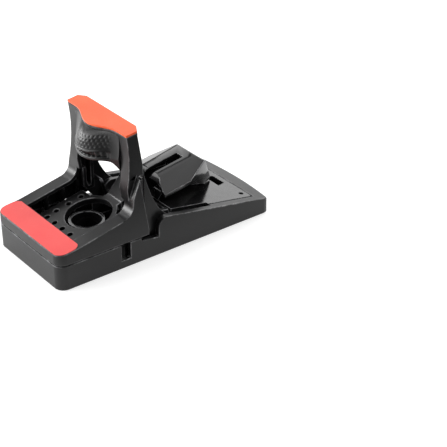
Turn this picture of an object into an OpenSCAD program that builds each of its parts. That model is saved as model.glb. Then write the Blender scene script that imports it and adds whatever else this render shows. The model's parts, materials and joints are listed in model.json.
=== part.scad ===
// Easy-set snap mouse trap, drawn sprung: jaw shut on the tray, trigger plate down.
// X runs from the front bar to the rear, Y across, Z up.
// Modules draw from the middle of the front edge; place() moves them to the origin.

/* [Base] */
// Length of the base from front to rear
base_l = 100; // [96:0.5:106]
// Width of the base
base_w = 45.4; // [44:0.2:52]
// Corner radius of the base in plan
corner_r = 4; // [2:0.5:6]
// Height of the tray walls
wall_h = 10.2; // [9.8:0.1:11]
// Thickness of the tray walls
wall_t = 2.2; // [1.6:0.1:2.6]
// Thickness of the tray floor
floor_t = 1.6; // [1.2:0.1:2]
// Drop of the wall top behind the step in front of the pillars
step_drop = 1.2; // [0.6:0.1:1.6]
// Distance of that step ahead of the pivot
step_gap = 10.4; // [9.6:0.1:11]
// Centre of the drain notch from the front
notch_x = 29.4; // [26:0.2:32]
// Width of the drain notch
notch_w = 4; // [3:0.2:5]
// Height of the notch sill
notch_z = 3.4; // [2.6:0.1:5]
// Further fall of the wall top from the step to the pillar
step_fall = 1.1; // [0.5:0.1:1.6]

/* [Pivot] */
// Pivot distance from the front
pivot_x = 46.9; // [46.5:0.1:47.6]
// Pivot height
pivot_z = 9; // [8.8:0.1:9.4]
// Diameter of the steel axle
axle_d = 4; // [3:0.1:4.4]
// Length of the axle inside each pillar
axle_seat = 6.2; // [5.6:0.1:6.6]
// Running clearance of bores on the axle, on the radius
run_gap = 0.05; // [0.03:0.01:0.08]
// Width of each pillar with its ear slot, from the outer face
pillar_w = 7.4; // [7:0.1:7.6]
// Height of the floor of the ear slots
slot_floor = 4.2; // [2.4:0.1:4.3]
// Pillar front ahead of the pivot
pillar_gap = 2.4; // [2.2:0.1:2.8]
// Foot of the gusset ahead of each pillar, inside the ear slot
gusset_l = 6; // [3:0.1:6.4]
// Height where the gusset's front edge begins to slope
gusset_z = 8.2; // [5:0.1:9]
// Height where it meets the pillar
gusset_top = 14.9; // [12:0.1:15]
// Radius at the pillar's top front corner
pillar_r = 4; // [3:0.25:4.5]

/* [Deck] */
// Height of the pillar top, where the sloping deck begins
deck_h = 15.4; // [15:0.1:15.6]
// Slope of the deck in degrees
deck_slope = 10.06; // [9.5:0.1:10.8]
// Thickness of the deck panel
panel_t = 1.6; // [1.2:0.1:2]
// Width of the rim beside the panel
rim_side = 3.7; // [3.3:0.1:4.2]
// Width of the rim behind the panel
rim_rear = 6.6; // [5:0.2:8]
// Gap between the panel and the rim
panel_gap = 0.3; // [0.2:0.05:0.5]
// Width of the ledge under the panel's edge
ledge_w = 1.8; // [1.2:0.1:2.4]
// Distance from the pivot back to the panel and housing front
bulk_gap = 7.1; // [6.8:0.1:7.6]
// Thickness of the bulkhead under the panel front
bulk_t = 1.6; // [1.2:0.1:2]
// Rear end of the ear slots behind the panel front
slot_l = 17; // [16.4:0.1:24]
// Width of the ear slots
slot_w = 2.7; // [2.5:0.1:2.8]
// Outer edge of the slots, from the outer face
slot_in = 2.7; // [2.5:0.1:2.8]
// Depth of the slots into the base's rim below the deck
slot_depth = 4.4; // [3.4:0.1:6]
// Radius of the panel's corners
panel_r = 1.5; // [0.5:0.1:3]
// Diameter of the small holes in the rear corners
eye_d = 2; // [1.6:0.1:2.6]
// Distance of those holes from the rear edge
eye_x = 9.6; // [9.5:0.1:11]
// Distance of those holes from the outer face
eye_in = 7.6; // [7:0.1:9]
// Distance of the vent's front edge from the rear edge
vent_x = 13.4; // [12.6:0.1:13.6]
// Length of the vent
vent_l = 4; // [2:0.1:4.4]
// Width of the vent at its front edge
vent_w = 10.4; // [6:0.2:14]
// Width of the vent at its rear edge
vent_w2 = 7.2; // [4:0.2:12]

/* [Spring housing] */
// Half width of the housing at its front
house_w = 13.5; // [12.5:0.1:13.8]
// Half width of the housing top at the rear corners
house_w2 = 8.9; // [7.5:0.1:9]
// Distance from the housing front to those corners
house_l = 23.2; // [20:0.2:23.6]
// Distance from the housing front to the tip of its rear bow
house_tip = 31.6; // [30:0.2:32]
// Half width of the bow two thirds of the way from the corners to the tip
bow_w = 4.65; // [3.5:0.05:5]
// Width of the flat at the tip of the bow
tip_w = 1; // [0.5:0.1:3]
// Bevel along the housing's top front edge
house_bevel = 1.4; // [0.5:0.1:2]
// Roof height at the housing front
house_h = 22.6; // [21.5:0.1:22.8]
// Rise of the roof towards the rear in degrees
house_rise = 9.7; // [8:0.1:9.9]
// Half width of the level strip along the roof
house_flat = 4; // [3.4:0.1:5]
// Fall of the roof flanks in degrees
house_flank = 22.3; // [18:0.5:26]
// Steepness of the fall behind the roof in degrees
house_fall = 44; // [43.5:0.5:50]
// Distance from the housing front to where that fall starts
house_knee = 20.8; // [19:0.2:21]
// Wall thickness of the housing
house_t = 1.6; // [1.2:0.1:2]
// Width of the long slot in the roof
roof_slot_w = 4.5; // [4:0.1:5.5]
// Length of that slot
roof_slot_l = 17; // [12:0.5:18]
// Height of the overhanging lip along each flank
lip_h = 1.4; // [1:0.1:2]
// How far the lip hangs over the wall below
lip_over = 2.2; // [1.5:0.1:2.5]
// Length of the overhang from the housing front
lip_run = 16.7; // [12:0.1:18]

/* [Tray fittings] */
// Outer diameter of the tube posts
post_d = 4.3; // [3.6:0.1:4.5]
// Bore of the tube posts
post_bore = 2.2; // [1.4:0.1:2.6]
// Depth of solid below the bore, above the tray floor
post_floor = 2; // [1:0.1:4]
// Height of the post tops
post_z = 9; // [7:0.1:9.2]
// Post centres from the outer face of the wall
post_in = 4.6; // [4.4:0.1:4.8]
// Posts across the front
post_n = 6; // [4:1:6]
// Posts along each side, behind the front row
side_n = 4; // [3:1:4]
// Distance from one side post to the next
side_pitch = 7.4; // [7:0.1:7.6]
// Centre of the bait cup from the front
cup_x = 26.5; // [26.2:0.1:27]
// Outer diameter of the bait cup
cup_d = 14.4; // [12:0.2:14.6]
// Wall of the bait cup
cup_t = 1.3; // [1:0.1:1.8]
// Height of the cup rim
cup_z = 11.7; // [9:0.1:12]
// Thickness of the cup's floor
cup_floor = 1; // [0.8:0.1:3]
// Length of the spring seats ahead of the bulkhead
seat_l = 3.2; // [2:0.1:4]
// Width of the spring seats
seat_w = 3; // [2:0.1:3.2]

/* [Trigger] */
// Drop of the sprung plate from level in degrees
trig_tilt = 12; // [11.6:0.1:12.2]
// Level height of the plate top when armed
plate_z = 18; // [17.8:0.1:18.4]
// Thickness of the plate
plate_t = 2.7; // [2:0.1:2.8]
// Sides of the plate, in from the outer faces
plate_in = 7.6; // [7.5:0.1:8.7]
// Corner radius of the plate and its lip
plate_r = 1; // [0.4:0.1:2]
// Front edge of the lip when armed, from the base's front
lip_x = 8; // [7.9:0.1:9]
// Length of the lip up to the groove
lip_l = 4.3; // [3:0.1:5]
// How far the lip lies below the plate top
lip_low = 0.6; // [0.3:0.1:1]
// Ends of the lip, in from the outer faces
lip_in = 9; // [8.7:0.1:10.7]
// Width of the groove behind the lip
groove_w = 1.4; // [1:0.1:2]
// Depth of the groove
groove_d = 0.8; // [0.4:0.1:1.2]
// Ends of the groove, in from the ends of the lip
groove_in = 0.6; // [0.3:0.1:2]
// Rear edge of the plate when armed, from the base's front
plate_rear = 36; // [35:0.1:36.4]
// Centre of the large hole from the base's front
hole_x = 29; // [28.8:0.1:29.4]
// Diameter of the large hole, which opens into the rear edge
hole_d = 18.8; // [18.4:0.1:20]
// Width of the ring round the large hole
ring_w = 1.8; // [1.2:0.1:2]
// Diameter of the small holes
dot_d = 2.2; // [1.6:0.1:2.6]
// Centres of the front row of small holes behind the groove
dot_gap = 3; // [2:0.1:4]
// Centres of the row's outer holes, in from the plate's sides
dot_end = 4.1; // [3.5:0.1:5]
// Centres of the side holes, in from the plate's sides
dot_in = 3.5; // [2.2:0.1:3.6]
// First side hole ahead of the large hole's centre
dot_lead = 7.7; // [7:0.1:8]
// Distance from one side hole to the next
dot_pitch = 5.85; // [4:0.05:6.2]
// Small holes across the front
dot_n = 5; // [3:1:5]
// Width of the spine at the plate
spine_w = 9.4; // [7:0.1:10]
// Width of the spine at its rear end
spine_w2 = 13; // [9:0.1:14]
// Width of the stem and hub under the spine
stem_w = 7; // [6:0.1:7.4]
// Thickness of the spine
spine_t = 2.6; // [2:0.1:3]
// Rise of the spine's rear end above the plate
spine_up = 5; // [3:0.1:5.6]
// Rear end of the spine behind the pivot when armed
spine_end = 3.8; // [2.5:0.1:4.4]
// Direction from the hub's centre to where the spine meets it, in degrees
spine_root = 20; // [10:1:40]
// Diameter of the trigger hub
trig_hub_d = 6.8; // [6:0.1:7.2]
// Ends of the catch, in from the sides of the spine's rear end
catch_in = 0.8; // [0.2:0.1:3]
// Length of the catch's ramp
catch_l = 2.6; // [2:0.1:5.4]
// Height of the catch above the spine
catch_h = 0.8; // [0.5:0.1:1.6]
// Length of the flat on the catch
catch_top = 1; // [0.5:0.1:1.5]

/* [Jaw] */
// Full swing of the jaw from sprung to armed in degrees
jaw_swing = 95.5; // [95:0.1:95.8]
// Gap between the shut jaw and the tray walls
jaw_gap = 0.3; // [0.25:0.05:0.5]
// Thickness of the jaw's side plates
jaw_t = 2.6; // [2.2:0.1:2.8]
// Depth of the front bar from front to rear
bar_d = 10.3; // [8:0.1:10.4]
// Height of the bar's front face
bar_h = 4.3; // [3.6:0.1:5]
// Wall of the bar and the top strips
shell_t = 1.7; // [1.3:0.1:2]
// Height of the side plates where they leave the bar
side_h = 5.6; // [5:0.1:6.4]
// Rise of the side plates towards the pedal in degrees
side_rise = 12; // [10:0.25:12.5]
// Width of the top strips
strip_w = 6; // [5:0.1:6.4]
// Radius where the strips turn up into the arms
turn_r = 5; // [3:0.25:5.5]
// Diameter of the teeth at the root
tooth_d = 2.8; // [2.2:0.1:2.9]
// Diameter of the teeth at the rounded tip
tooth_tip = 1.7; // [1:0.1:2]
// Length of the tapered end of the teeth
tooth_l = 6; // [4:0.25:8]
// Gap between tooth tips and the top of the walls, downwards
tooth_low = 0.3; // [0:0.05:0.4]
// Centres of the rear row of teeth, in from the bar's rear edge
row_in = 2.5; // [1.4:0.1:3]
// How much lower the tips of the rear row reach
tooth_drop = 0.3; // [0:0.05:0.4]
// Thickness of the web behind each tooth
web_t = 1.2; // [0.8:0.1:1.6]
// Height of the web's lower edge above the tips
web_up = 0.9; // [0.5:0.1:2]
// Reach of the heel's upper corner behind the arms' rear faces
heel_x = 0.2; // [0:0.05:0.3]
// Height of that corner above the pivot
heel_z = 3.3; // [2.6:0.1:4]
// Front edge of the wing behind the arm's front face
wing_front = 0.6; // [0.2:0.1:2]
// Height above the pivot where the wing's front edge leaves that face
wing_z = 19; // [16:0.2:21]
// Tip of the wing ahead of the arm's rear face
wing_tip = 3.2; // [2.8:0.1:4]
// Height of the wing's tip above the pivot
wing_h = 26; // [24:0.2:27]

/* [Pedal] */
// Lean of the pedal towards the front in degrees
lean = 8.25; // [8:0.05:8.5]
// Outer faces of the arms, in from the jaw's side
arm_in = 8; // [7.7:0.1:8.1]
// Front faces of the arms, ahead of the pivot
arm_front = 13.6; // [13.4:0.1:14.4]
// Rear faces of the arms, ahead of the pivot
arm_rear = 6.9; // [6.8:0.1:7.2]
// Wall of the channel-shaped arms
arm_t = 1.6; // [1.2:0.1:2]
// Underside of the arms above the pivot
arm_low = 6; // [6:0.1:6.6]
// Length of the arms' level foot
foot_l = 3.5; // [3:0.1:4]
// Rise of the underside from the foot to the front
foot_rise = 1.8; // [1:0.1:3]
// Height along the lean where the arms begin to narrow
neck_s = 23; // [20:0.25:26]
// Depth of the arms at that height, from the rear face
neck_t = 8.6; // [8:0.1:9]
// Height of the pedal's end face above the pivot, along its lean
pedal_s = 45.5; // [44:0.25:47]
// Pedal rear face ahead of the pivot
pedal_off = 2.5; // [2.4:0.1:2.8]
// Depth of the pedal's end at its sides
end_t = 4.9; // [4:0.1:6]
// Depth of the pedal's end in the middle
end_bell = 9; // [8:0.1:10]
// Rear bulge of the pedal's end
end_back = 2; // [1:0.1:2.4]
// Crest of the thumb dome
dome_t = 13.6; // [13:0.1:14.5]
// Depth of the dome at its lower lip
dome_lip = 12.4; // [12.2:0.1:13]
// Distance from the pedal's end down to that lip
dome_l = 11.6; // [10.6:0.1:12]
// Drop of the lip towards the arms
dome_drop = 5.3; // [4:0.1:6]
// Wall of the dome
dome_wall = 1.7; // [1.3:0.1:1.8]
// Thickness of the cap under the pad
cap_t = 1; // [0.8:0.1:1.4]
// Thickness of the coloured pad
pad_t = 0.9; // [0.6:0.1:1.2]
// Thickness of the label strip
label_t = 0.2; // [0.1:0.05:0.4]
// Inset of the label strip from the edges of the bar
label_edge = 0.3; // [0.2:0.05:0.6]
// Start of the rear bulge, in from the sides of the pedal's end
bulge_in = 3.4; // [2:0.1:6]
// Diameter of the small hole through each arm
arm_hole_d = 2; // [1.5:0.1:2.6]
// Height of that hole along the lean
arm_hole_s = 26; // [24:0.25:30]
// Depth of that hole's centre from the rear face
arm_hole_t = 2; // [1.8:0.1:4]
// Diameter of the jaw hubs
hub_d = 8.6; // [7.6:0.1:8.8]
// Gap between the jaw's ears and the walls of their slots
ear_gap = 0.35; // [0.3:0.05:0.5]
// Height above the pivot where the ears leave the arms' rear faces
ear_top = 28; // [26:0.25:28.5]
// Tip of the ears behind the pivot
tip_x = 3.6; // [3:0.1:4]
// Height of that tip above the pivot
tip_h = 5.6; // [5.4:0.1:6]
// Hollow of the ears' rear edge ahead of the pivot
bend_x = 2.5; // [1.8:0.1:3.5]
// Height of that hollow above the pivot
bend_h = 9.5; // [8.8:0.1:11]

/* [Springs] */
// Wire diameter of the torsion springs
wire_d = 1.2; // [1:0.05:1.3]
// Mean radius of the coils
coil_r = 3.5; // [3.2:0.05:3.6]
// Turns of each coil, before the last quarter
coil_n = 3; // [2:1:3]
// Advance of the wire in each turn
coil_pitch = 1.75; // [1.75:0.05:2]
// Gap between the trigger hub and each coil
coil_gap = 0.4; // [0.3:0.1:0.8]
// Length of the fixed leg behind the axle
leg_l = 6; // [5:0.1:6.2]
// Height above the pivot where the moving leg meets the arm
leg_h = 10.5; // [9:0.1:12]
// Reach of the leg's end past the inner face of the arm
hook_in = 2.6; // [1:0.1:3]
// Radius of the bend from the moving leg to its hooked end
bend_r = 1.2; // [0.8:0.1:1.5]
// Gap between the wire and what it presses on
wire_gap = 0.05; // [0.05:0.01:0.1]

/* [Hidden] */
$fn = 48;
far = 200;
hw = base_w / 2;
pillar_x = pivot_x - pillar_gap;
step_x = pivot_x - step_gap;
tray_end = pivot_x + bulk_gap;
jaw_z = wall_h + jaw_gap;
tip_z = wall_h - tooth_low;
arm_y = hw - arm_in;
dome_s = pedal_s - dome_l;
cap_s = pedal_s - pad_t - cap_t;
front_u = pivot_x - arm_front;
rear_u = pivot_x - arm_rear;
spine_half = spine_w / 2;
stem_half = stem_w / 2;
catch_half = spine_w2 / 2 - catch_in;
coil_in = stem_half + coil_gap + wire_d / 2;
plate_y = hw - jaw_t;
plate_w = base_w - 2 * plate_in;
lip_w = base_w - 2 * lip_in;
ring_r = hole_d / 2 + ring_w;
turn = [front_u - turn_r, side_z(front_u - turn_r) + turn_r / cos(side_rise)];
bar_tilt = atan((side_z(bar_d) - jaw_z - bar_h) / bar_d);
hook = [rear_u + wire_d / 2 + wire_gap, pivot_z + leg_h];

function arc(c, r, a0, a1, n) =
    [for (i = [0:n]) c + r * [cos(a0 + (a1 - a0) * i / n), sin(a0 + (a1 - a0) * i / n)]];
function deck_z(x) = deck_h - (x - pillar_x - pillar_r) * tan(deck_slope);
function side_z(x) = jaw_z + side_h + (x - bar_d) * tan(side_rise);
function roof_z(x) = house_h + (x - tray_end) * tan(house_rise);

module place() {
    translate([-base_l / 2, 0, 0]) children();
}

// Pushes an outline drawn in X and Z across the trap, from y0 to y1.
module across(y0, y1) {
    translate([0, y1, 0])
        rotate([90, 0, 0])
            linear_extrude(y1 - y0) children();
}

module mirrored() {
    children();
    mirror([0, 1, 0]) children();
}

module axle_bore(y0, y1, gap) {
    translate([pivot_x, y0, pivot_z])
        rotate([-90, 0, 0])
            cylinder(h = y1 - y0, r = axle_d / 2 + gap);
}

module plan(l, w, r) {
    translate([r, r - w / 2])
        square([l - 2 * r, w - 2 * r]);
    translate([0, r - w / 2]) square([l, w - 2 * r]);
    translate([r, -w / 2]) square([l - 2 * r, w]);
    for (x = [r, l - r])
        for (y = [r - w / 2, w / 2 - r])
            translate([x, y]) circle(r);
}

// Base

module base_side() {
    low = wall_h - step_drop;
    polygon(concat(
        [[0, 0], [base_l, 0], [base_l, deck_z(base_l)]],
        arc([pillar_x + pillar_r, deck_h - pillar_r], pillar_r, 90, 180, 8),
        [[pillar_x, low - step_fall], [step_x, low], [step_x, wall_h], [0, wall_h]]));
}

// Everything behind the bulkhead that lies below the deck surface less a drop.
module under_deck(x0, x1, drop) {
    across(-far, far)
        polygon([[x0, -1], [x1, -1], [x1, deck_z(x1) - drop], [x0, deck_z(x0) - drop]]);
}

module over_deck(x0, x1, drop) {
    across(-far, far)
        polygon([[x0, deck_z(x0) - drop], [x1, deck_z(x1) - drop], [x1, far], [x0, far]]);
}

// Slots through both pillars and into the deck, in which the jaw's ears swing.
module side_slots() {
    mirrored()
        translate([pillar_x - corner_r, hw - slot_in - slot_w, 0])
            cube([tray_end - pillar_x + corner_r + slot_l, slot_w, far]);
}

module base_shell() {
    color("dimgray") place() {
        difference() {
            intersection() {
                linear_extrude(far) plan(base_l, base_w, corner_r);
                across(-hw, hw) base_side();
            }
            // the tray, with its narrower well between the pillars and their gussets
            difference() {
                translate([wall_t, 0, floor_t])
                    linear_extrude(far)
                        plan(pillar_x - wall_t, base_w - 2 * wall_t, corner_r - wall_t / 2);
                mirrored()
                    across(slot_in + slot_w - hw, pillar_w - hw)
                        polygon([[pillar_x - gusset_l, 0], [base_l, 0], [base_l, gusset_top],
                            [pillar_x, gusset_top], [pillar_x - gusset_l, gusset_z]]);
            }
            translate([pillar_x - corner_r, pillar_w - hw, floor_t])
                cube([tray_end - pillar_x + corner_r, base_w - 2 * pillar_w, far]);
            // drain notches through both side walls
            mirrored()
                translate([notch_x - notch_w / 2, hw - wall_t - 1, notch_z])
                    cube([notch_w, wall_t + 2, far]);
            // blind seats for the axle
            mirrored()
                axle_bore(hw - pillar_w - 1, hw - pillar_w + axle_seat, run_gap);
            // recess for the deck panel, and the hollow below it
            intersection() {
                over_deck(tray_end - 1, base_l - rim_rear, panel_t);
                translate([tray_end - 1, rim_side - hw, 0])
                    cube([far, base_w - 2 * rim_side, far]);
            }
            intersection() {
                under_deck(tray_end + bulk_t, base_l - wall_t, 2 * panel_t);
                translate([0, wall_t - hw, -1])
                    cube([far, base_w - 2 * wall_t, far]);
            }
            intersection() {
                under_deck(tray_end + bulk_t, base_l - rim_rear - ledge_w, panel_t - 1);
                translate([0, rim_side + ledge_w - hw, -1])
                    cube([far, base_w - 2 * (rim_side + ledge_w), far]);
            }
            intersection() {
                side_slots();
                over_deck(0, base_l, slot_depth);
            }
            intersection() {
                side_slots();
                translate([0, -hw, slot_floor]) cube([tray_end + bulk_t + 1, base_w, far]);
            }
        }
    }
}

module deck_panel() {
    x1 = base_l - rim_rear - panel_gap;
    half = hw - rim_side - panel_gap;
    vent = base_l - vent_x;
    color("slategray") place() {
        difference() {
            intersection() {
                across(-half, half)
                    polygon([[tray_end, deck_z(tray_end) - panel_t], [x1, deck_z(x1) - panel_t],
                        [x1, deck_z(x1)], [tray_end, deck_z(tray_end)]]);
                translate([tray_end - 2 * panel_r, 0, 0])
                    linear_extrude(far) plan(x1 - tray_end + 2 * panel_r, 2 * half, panel_r);
            }
            side_slots();
            mirrored()
                translate([base_l - eye_x, hw - eye_in, 0])
                    cylinder(h = far, d = eye_d);
            // vent behind the housing
            linear_extrude(far)
                polygon([[vent, -vent_w / 2], [vent + vent_l, -vent_w2 / 2],
                    [vent + vent_l, vent_w2 / 2], [vent, vent_w / 2]]);
        }
    }
}

// Spring housing

module house_roof(drop) {
    side = 2 * house_w;
    fall = (side - house_flat) * tan(house_flank);
    translate([tray_end, 0, house_h])
        rotate([0, -house_rise, 0])
            translate([-house_l, 0, -drop])
                rotate([90, 0, 90])
                    linear_extrude(4 * house_l)
                        polygon([[-house_flat, 0], [house_flat, 0], [side, -fall], [side, -far],
                            [-side, -far], [-side, -fall]]);
}

module house_plan(inset) {
    bow = house_l + (house_tip - house_l) * 2 / 3;
    linear_extrude(far)
        translate([tray_end, 0])
            polygon([[0, inset - house_w], [house_l - inset / 2, inset - house_w2],
                [bow - inset, inset - bow_w], [house_tip - inset, -tip_w / 2],
                [house_tip - inset, tip_w / 2], [bow - inset, bow_w - inset],
                [house_l - inset / 2, house_w2 - inset], [0, house_w - inset]]);
}

// Side view of the housing down to the deck, thinned by an inset.
module house_side(inset) {
    x0 = tray_end + inset;
    x1 = tray_end + house_tip;
    knee = tray_end + house_knee;
    top = roof_z(knee) - inset;
    front = house_h - house_bevel - inset;
    across(-far, far)
        polygon([[x0, deck_z(x0)], [x1, deck_z(x1)], [x1, top - (x1 - knee) * tan(house_fall)],
            [knee, top], [knee, far], [x0 + 2 * house_bevel, far],
            [x0 + 2 * house_bevel, front + 2 * house_bevel], [x0, front]]);
}

module spring_housing() {
    color("darkslategray") place() {
        difference() {
            intersection() {
                house_roof(0);
                house_plan(0);
                house_side(0);
            }
            intersection() {
                house_roof(house_t);
                house_plan(lip_over + house_t);
                house_side(house_t);
            }
            // the lips overhang the walls along the front half
            difference() {
                intersection() {
                    house_roof(lip_h);
                    translate([tray_end - 1, -house_w - 1, 0]) cube([lip_run + 1, 2 * house_w + 2, far]);
                }
                house_plan(lip_over);
            }
            translate([tray_end - 1, -roof_slot_w / 2, house_h - 3 * house_t])
                cube([roof_slot_l + 1, roof_slot_w, far]);
        }
    }
}

// Tray fittings

module post(x, y) {
    translate([x, y, floor_t])
        difference() {
            cylinder(h = post_z - floor_t, d = post_d);
            translate([0, 0, post_floor]) cylinder(h = far, d = post_bore);
        }
}

module front_posts() {
    across_gap = (base_w - 2 * post_in) / (post_n - 1);
    color("gray") place()
        for (i = [0:post_n - 1])
            post(post_in, post_in - hw + i * across_gap);
}

module side_posts() {
    for (i = [1:side_n])
        post(post_in + i * side_pitch, post_in - hw);
}

module near_posts() {
    color("gray") place() side_posts();
}

module far_posts() {
    color("gray") place() mirror([0, 1, 0]) side_posts();
}

module bait_cup() {
    color("gray") place()
        translate([cup_x, 0, floor_t])
            difference() {
                cylinder(h = cup_z - floor_t, d = cup_d);
                translate([0, 0, cup_floor]) cylinder(h = far, d = cup_d - 2 * cup_t);
            }
}

module spring_seats() {
    top = pivot_z - coil_r - wire_d / 2 - wire_gap;
    color("gray") place()
        mirrored()
            translate([tray_end - seat_l, coil_in - seat_w / 2, floor_t])
                cube([seat_l, seat_w, top - floor_t]);
}

module main_axle() {
    color("silver") place()
        axle_bore(pillar_w - axle_seat + 4 * run_gap - hw, hw - pillar_w + axle_seat - 4 * run_gap, 0);
}

// Trigger, drawn armed and then let down

module let_down() {
    translate([pivot_x, 0, pivot_z])
        rotate([0, -trig_tilt, 0])
            translate([-pivot_x, 0, -pivot_z]) children();
}

module trigger_plate() {
    x0 = lip_x + lip_l;
    under = plate_z - plate_t;
    pitch = (plate_w - 2 * dot_end) / (dot_n - 1);
    color("darkgray") place() let_down() {
        difference() {
            union() {
                translate([x0, 0, under])
                    linear_extrude(plate_t) plan(plate_rear - x0, plate_w, plate_r);
                translate([hole_x, 0, under]) cylinder(h = plate_t, r = ring_r);
                translate([plate_rear - 1, -spine_half, under])
                    cube([hole_x + ring_r + 1 - plate_rear + 1, spine_w, plate_t]);
                translate([lip_x, 0, under])
                    linear_extrude(plate_t - lip_low) plan(lip_l + 2 * plate_r, lip_w, plate_r);
            }
            translate([hole_x, 0, under - 1]) cylinder(h = plate_t + 2, d = hole_d);
            translate([x0, groove_in - lip_w / 2, plate_z - groove_d])
                cube([groove_w, lip_w - 2 * groove_in, plate_t]);
            for (i = [0:dot_n - 1])
                translate([x0 + groove_w + dot_gap, pitch * (i - (dot_n - 1) / 2), under - 1])
                    cylinder(h = plate_t + 2, d = dot_d);
            mirrored()
                for (i = [0:2])
                    translate([hole_x - dot_lead + i * dot_pitch, plate_w / 2 - dot_in, under - 1])
                        cylinder(h = plate_t + 2, d = dot_d);
        }
    }
}

module trigger_spine() {
    x0 = hole_x + ring_r + 1;
    x1 = pivot_x + spine_end;
    top = plate_z + spine_up;
    r = trig_hub_d / 2;
    color("lightslategray") place() let_down() {
        difference() {
            union() {
                intersection() {
                    across(-spine_w2, spine_w2)
                        polygon([[x0, plate_z - plate_t], [x0, plate_z], [x1, top], [x1, top - spine_t]]);
                    linear_extrude(far)
                        polygon([[x0, -spine_half], [x1, -spine_w2 / 2], [x1, spine_w2 / 2],
                            [x0, spine_half]]);
                }
                across(-stem_half, stem_half)
                    polygon([[x0, plate_z - plate_t], [x1, top - spine_t],
                        [pivot_x + r * cos(spine_root), pivot_z + r * sin(spine_root)],
                        [pivot_x, pivot_z],
                        [pivot_x - r * cos(spine_root), pivot_z + r * sin(spine_root)]]);
                translate([pivot_x, -stem_half, pivot_z])
                    rotate([-90, 0, 0]) cylinder(h = stem_w, r = r);
            }
            axle_bore(-stem_half - 1, stem_half + 1, run_gap);
        }
    }
}

module trigger_catch() {
    x0 = hole_x + ring_r + 1;
    x1 = pivot_x + spine_end;
    rise = spine_up / (x1 - x0);
    top = plate_z + spine_up;
    color("lightgray") place() let_down()
        across(-catch_half, catch_half)
            polygon([[x1 - catch_l, top - catch_l * rise], [x1, top], [x1, top + catch_h],
                [x1 - catch_top, top + catch_h]]);
}

// Jaw

// Outline of the side view above the walls, ahead of the pedal arms.
module below_strips(drop, x1) {
    z0 = jaw_z + bar_h - drop;
    polygon(concat(
        [[0, 0], [x1, 0], [x1, turn[1]]],
        [for (p = arc(turn, turn_r + drop, 0, side_rise - 90, 8)) p],
        [[bar_d, side_z(bar_d) - drop], [0, z0]]));
}

module bar_hollow() {
    intersection() {
        translate([shell_t, 0, 0])
            linear_extrude(far) plan(bar_d + corner_r, 2 * plate_y, corner_r - shell_t / 2);
        across(-hw, hw) below_strips(shell_t, front_u);
    }
}

module jaw_bar() {
    color("dimgray") place()
        difference() {
            intersection() {
                linear_extrude(far) plan(bar_d + corner_r, base_w, corner_r);
                across(-hw, hw)
                    polygon([[0, jaw_z], [bar_d, jaw_z], [bar_d, side_z(bar_d)], [0, jaw_z + bar_h]]);
            }
            bar_hollow();
        }
}

module side_plate() {
    across(-hw, -plate_y)
        polygon(concat(
            [[bar_d, jaw_z], [rear_u, jaw_z], [rear_u + heel_x, pivot_z + heel_z]],
            [[rear_u - wing_tip, pivot_z + wing_h], [front_u + wing_front, pivot_z + wing_z]],
            arc(turn, turn_r, 0, side_rise - 90, 8),
            [[bar_d, side_z(bar_d)]]));
}

module side_frame() {
    side_plate();
    across(-plate_y, strip_w - hw)
        difference() {
            polygon(concat([[bar_d, jaw_z], [front_u + shell_t, jaw_z], [front_u + shell_t, turn[1]]],
                arc(turn, turn_r, 0, side_rise - 90, 8), [[bar_d, side_z(bar_d)]]));
            below_strips(shell_t, front_u + shell_t);
        }
}

module jaw_side_near() {
    color("dimgray") place() side_frame();
}

module jaw_side_far() {
    color("dimgray") place() mirror([0, 1, 0]) side_frame();
}

module tooth_at(x, y, low) {
    r = tooth_tip / 2;
    translate([x, y, tip_z - low + r]) {
        sphere(r);
        cylinder(h = tooth_l, r1 = r, r2 = tooth_d / 2);
        translate([0, 0, tooth_l]) cylinder(h = 2 * jaw_z, r = tooth_d / 2);
    }
}

// One tooth over each post of the front row, with a second row behind all but the outer two.
module bar_teeth() {
    pitch = (base_w - 2 * post_in) / (post_n - 1);
    color("silver") place()
        intersection() {
            bar_hollow();
            for (i = [0:post_n - 1]) {
                y = post_in - hw + i * pitch;
                inner = i > 0 && i < post_n - 1;
                tooth_at(post_in, y, 0);
                translate([shell_t, y - web_t / 2, tip_z + web_up])
                    cube([(inner ? bar_d - row_in : post_in) - shell_t, web_t, 2 * jaw_z]);
                if (inner) tooth_at(bar_d - row_in, y, tooth_drop);
            }
        }
}

// One tooth over each post along the side.
module side_teeth() {
    intersection() {
        across(-hw, hw) below_strips(shell_t, front_u + shell_t);
        for (i = [1:side_n]) {
            x = post_in + i * side_pitch;
            tooth_at(x, post_in - hw, 0);
            translate([x - web_t / 2, -plate_y, tip_z + web_up])
                cube([web_t, plate_y - hw + post_in, 2 * jaw_z]);
        }
    }
}

module near_teeth() {
    color("silver") place() side_teeth();
}

module far_teeth() {
    color("silver") place() mirror([0, 1, 0]) side_teeth();
}

module label_strip() {
    l = bar_d / cos(bar_tilt) - label_edge;
    color("firebrick") place()
        translate([0, 0, jaw_z + bar_h])
            rotate([0, -bar_tilt, 0])
                linear_extrude(label_t)
                    difference() {
                        translate([label_edge, 0])
                            plan(l, base_w - 2 * label_edge, corner_r - label_edge);
                        translate([l, -hw]) square([l, base_w]);
                    }
}

// Pedal

// A point of the pedal's side view, s along its lean and t ahead of its rear face.
function lean_pt(s, t) = [
    pivot_x - s * sin(lean) - (t + pedal_off) * cos(lean),
    pivot_z + s * cos(lean) - (t + pedal_off) * sin(lean)];

module leaned() {
    translate([pivot_x, 0, pivot_z])
        rotate([0, -lean, 0])
            translate([-pedal_off, 0, 0]) children();
}

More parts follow.
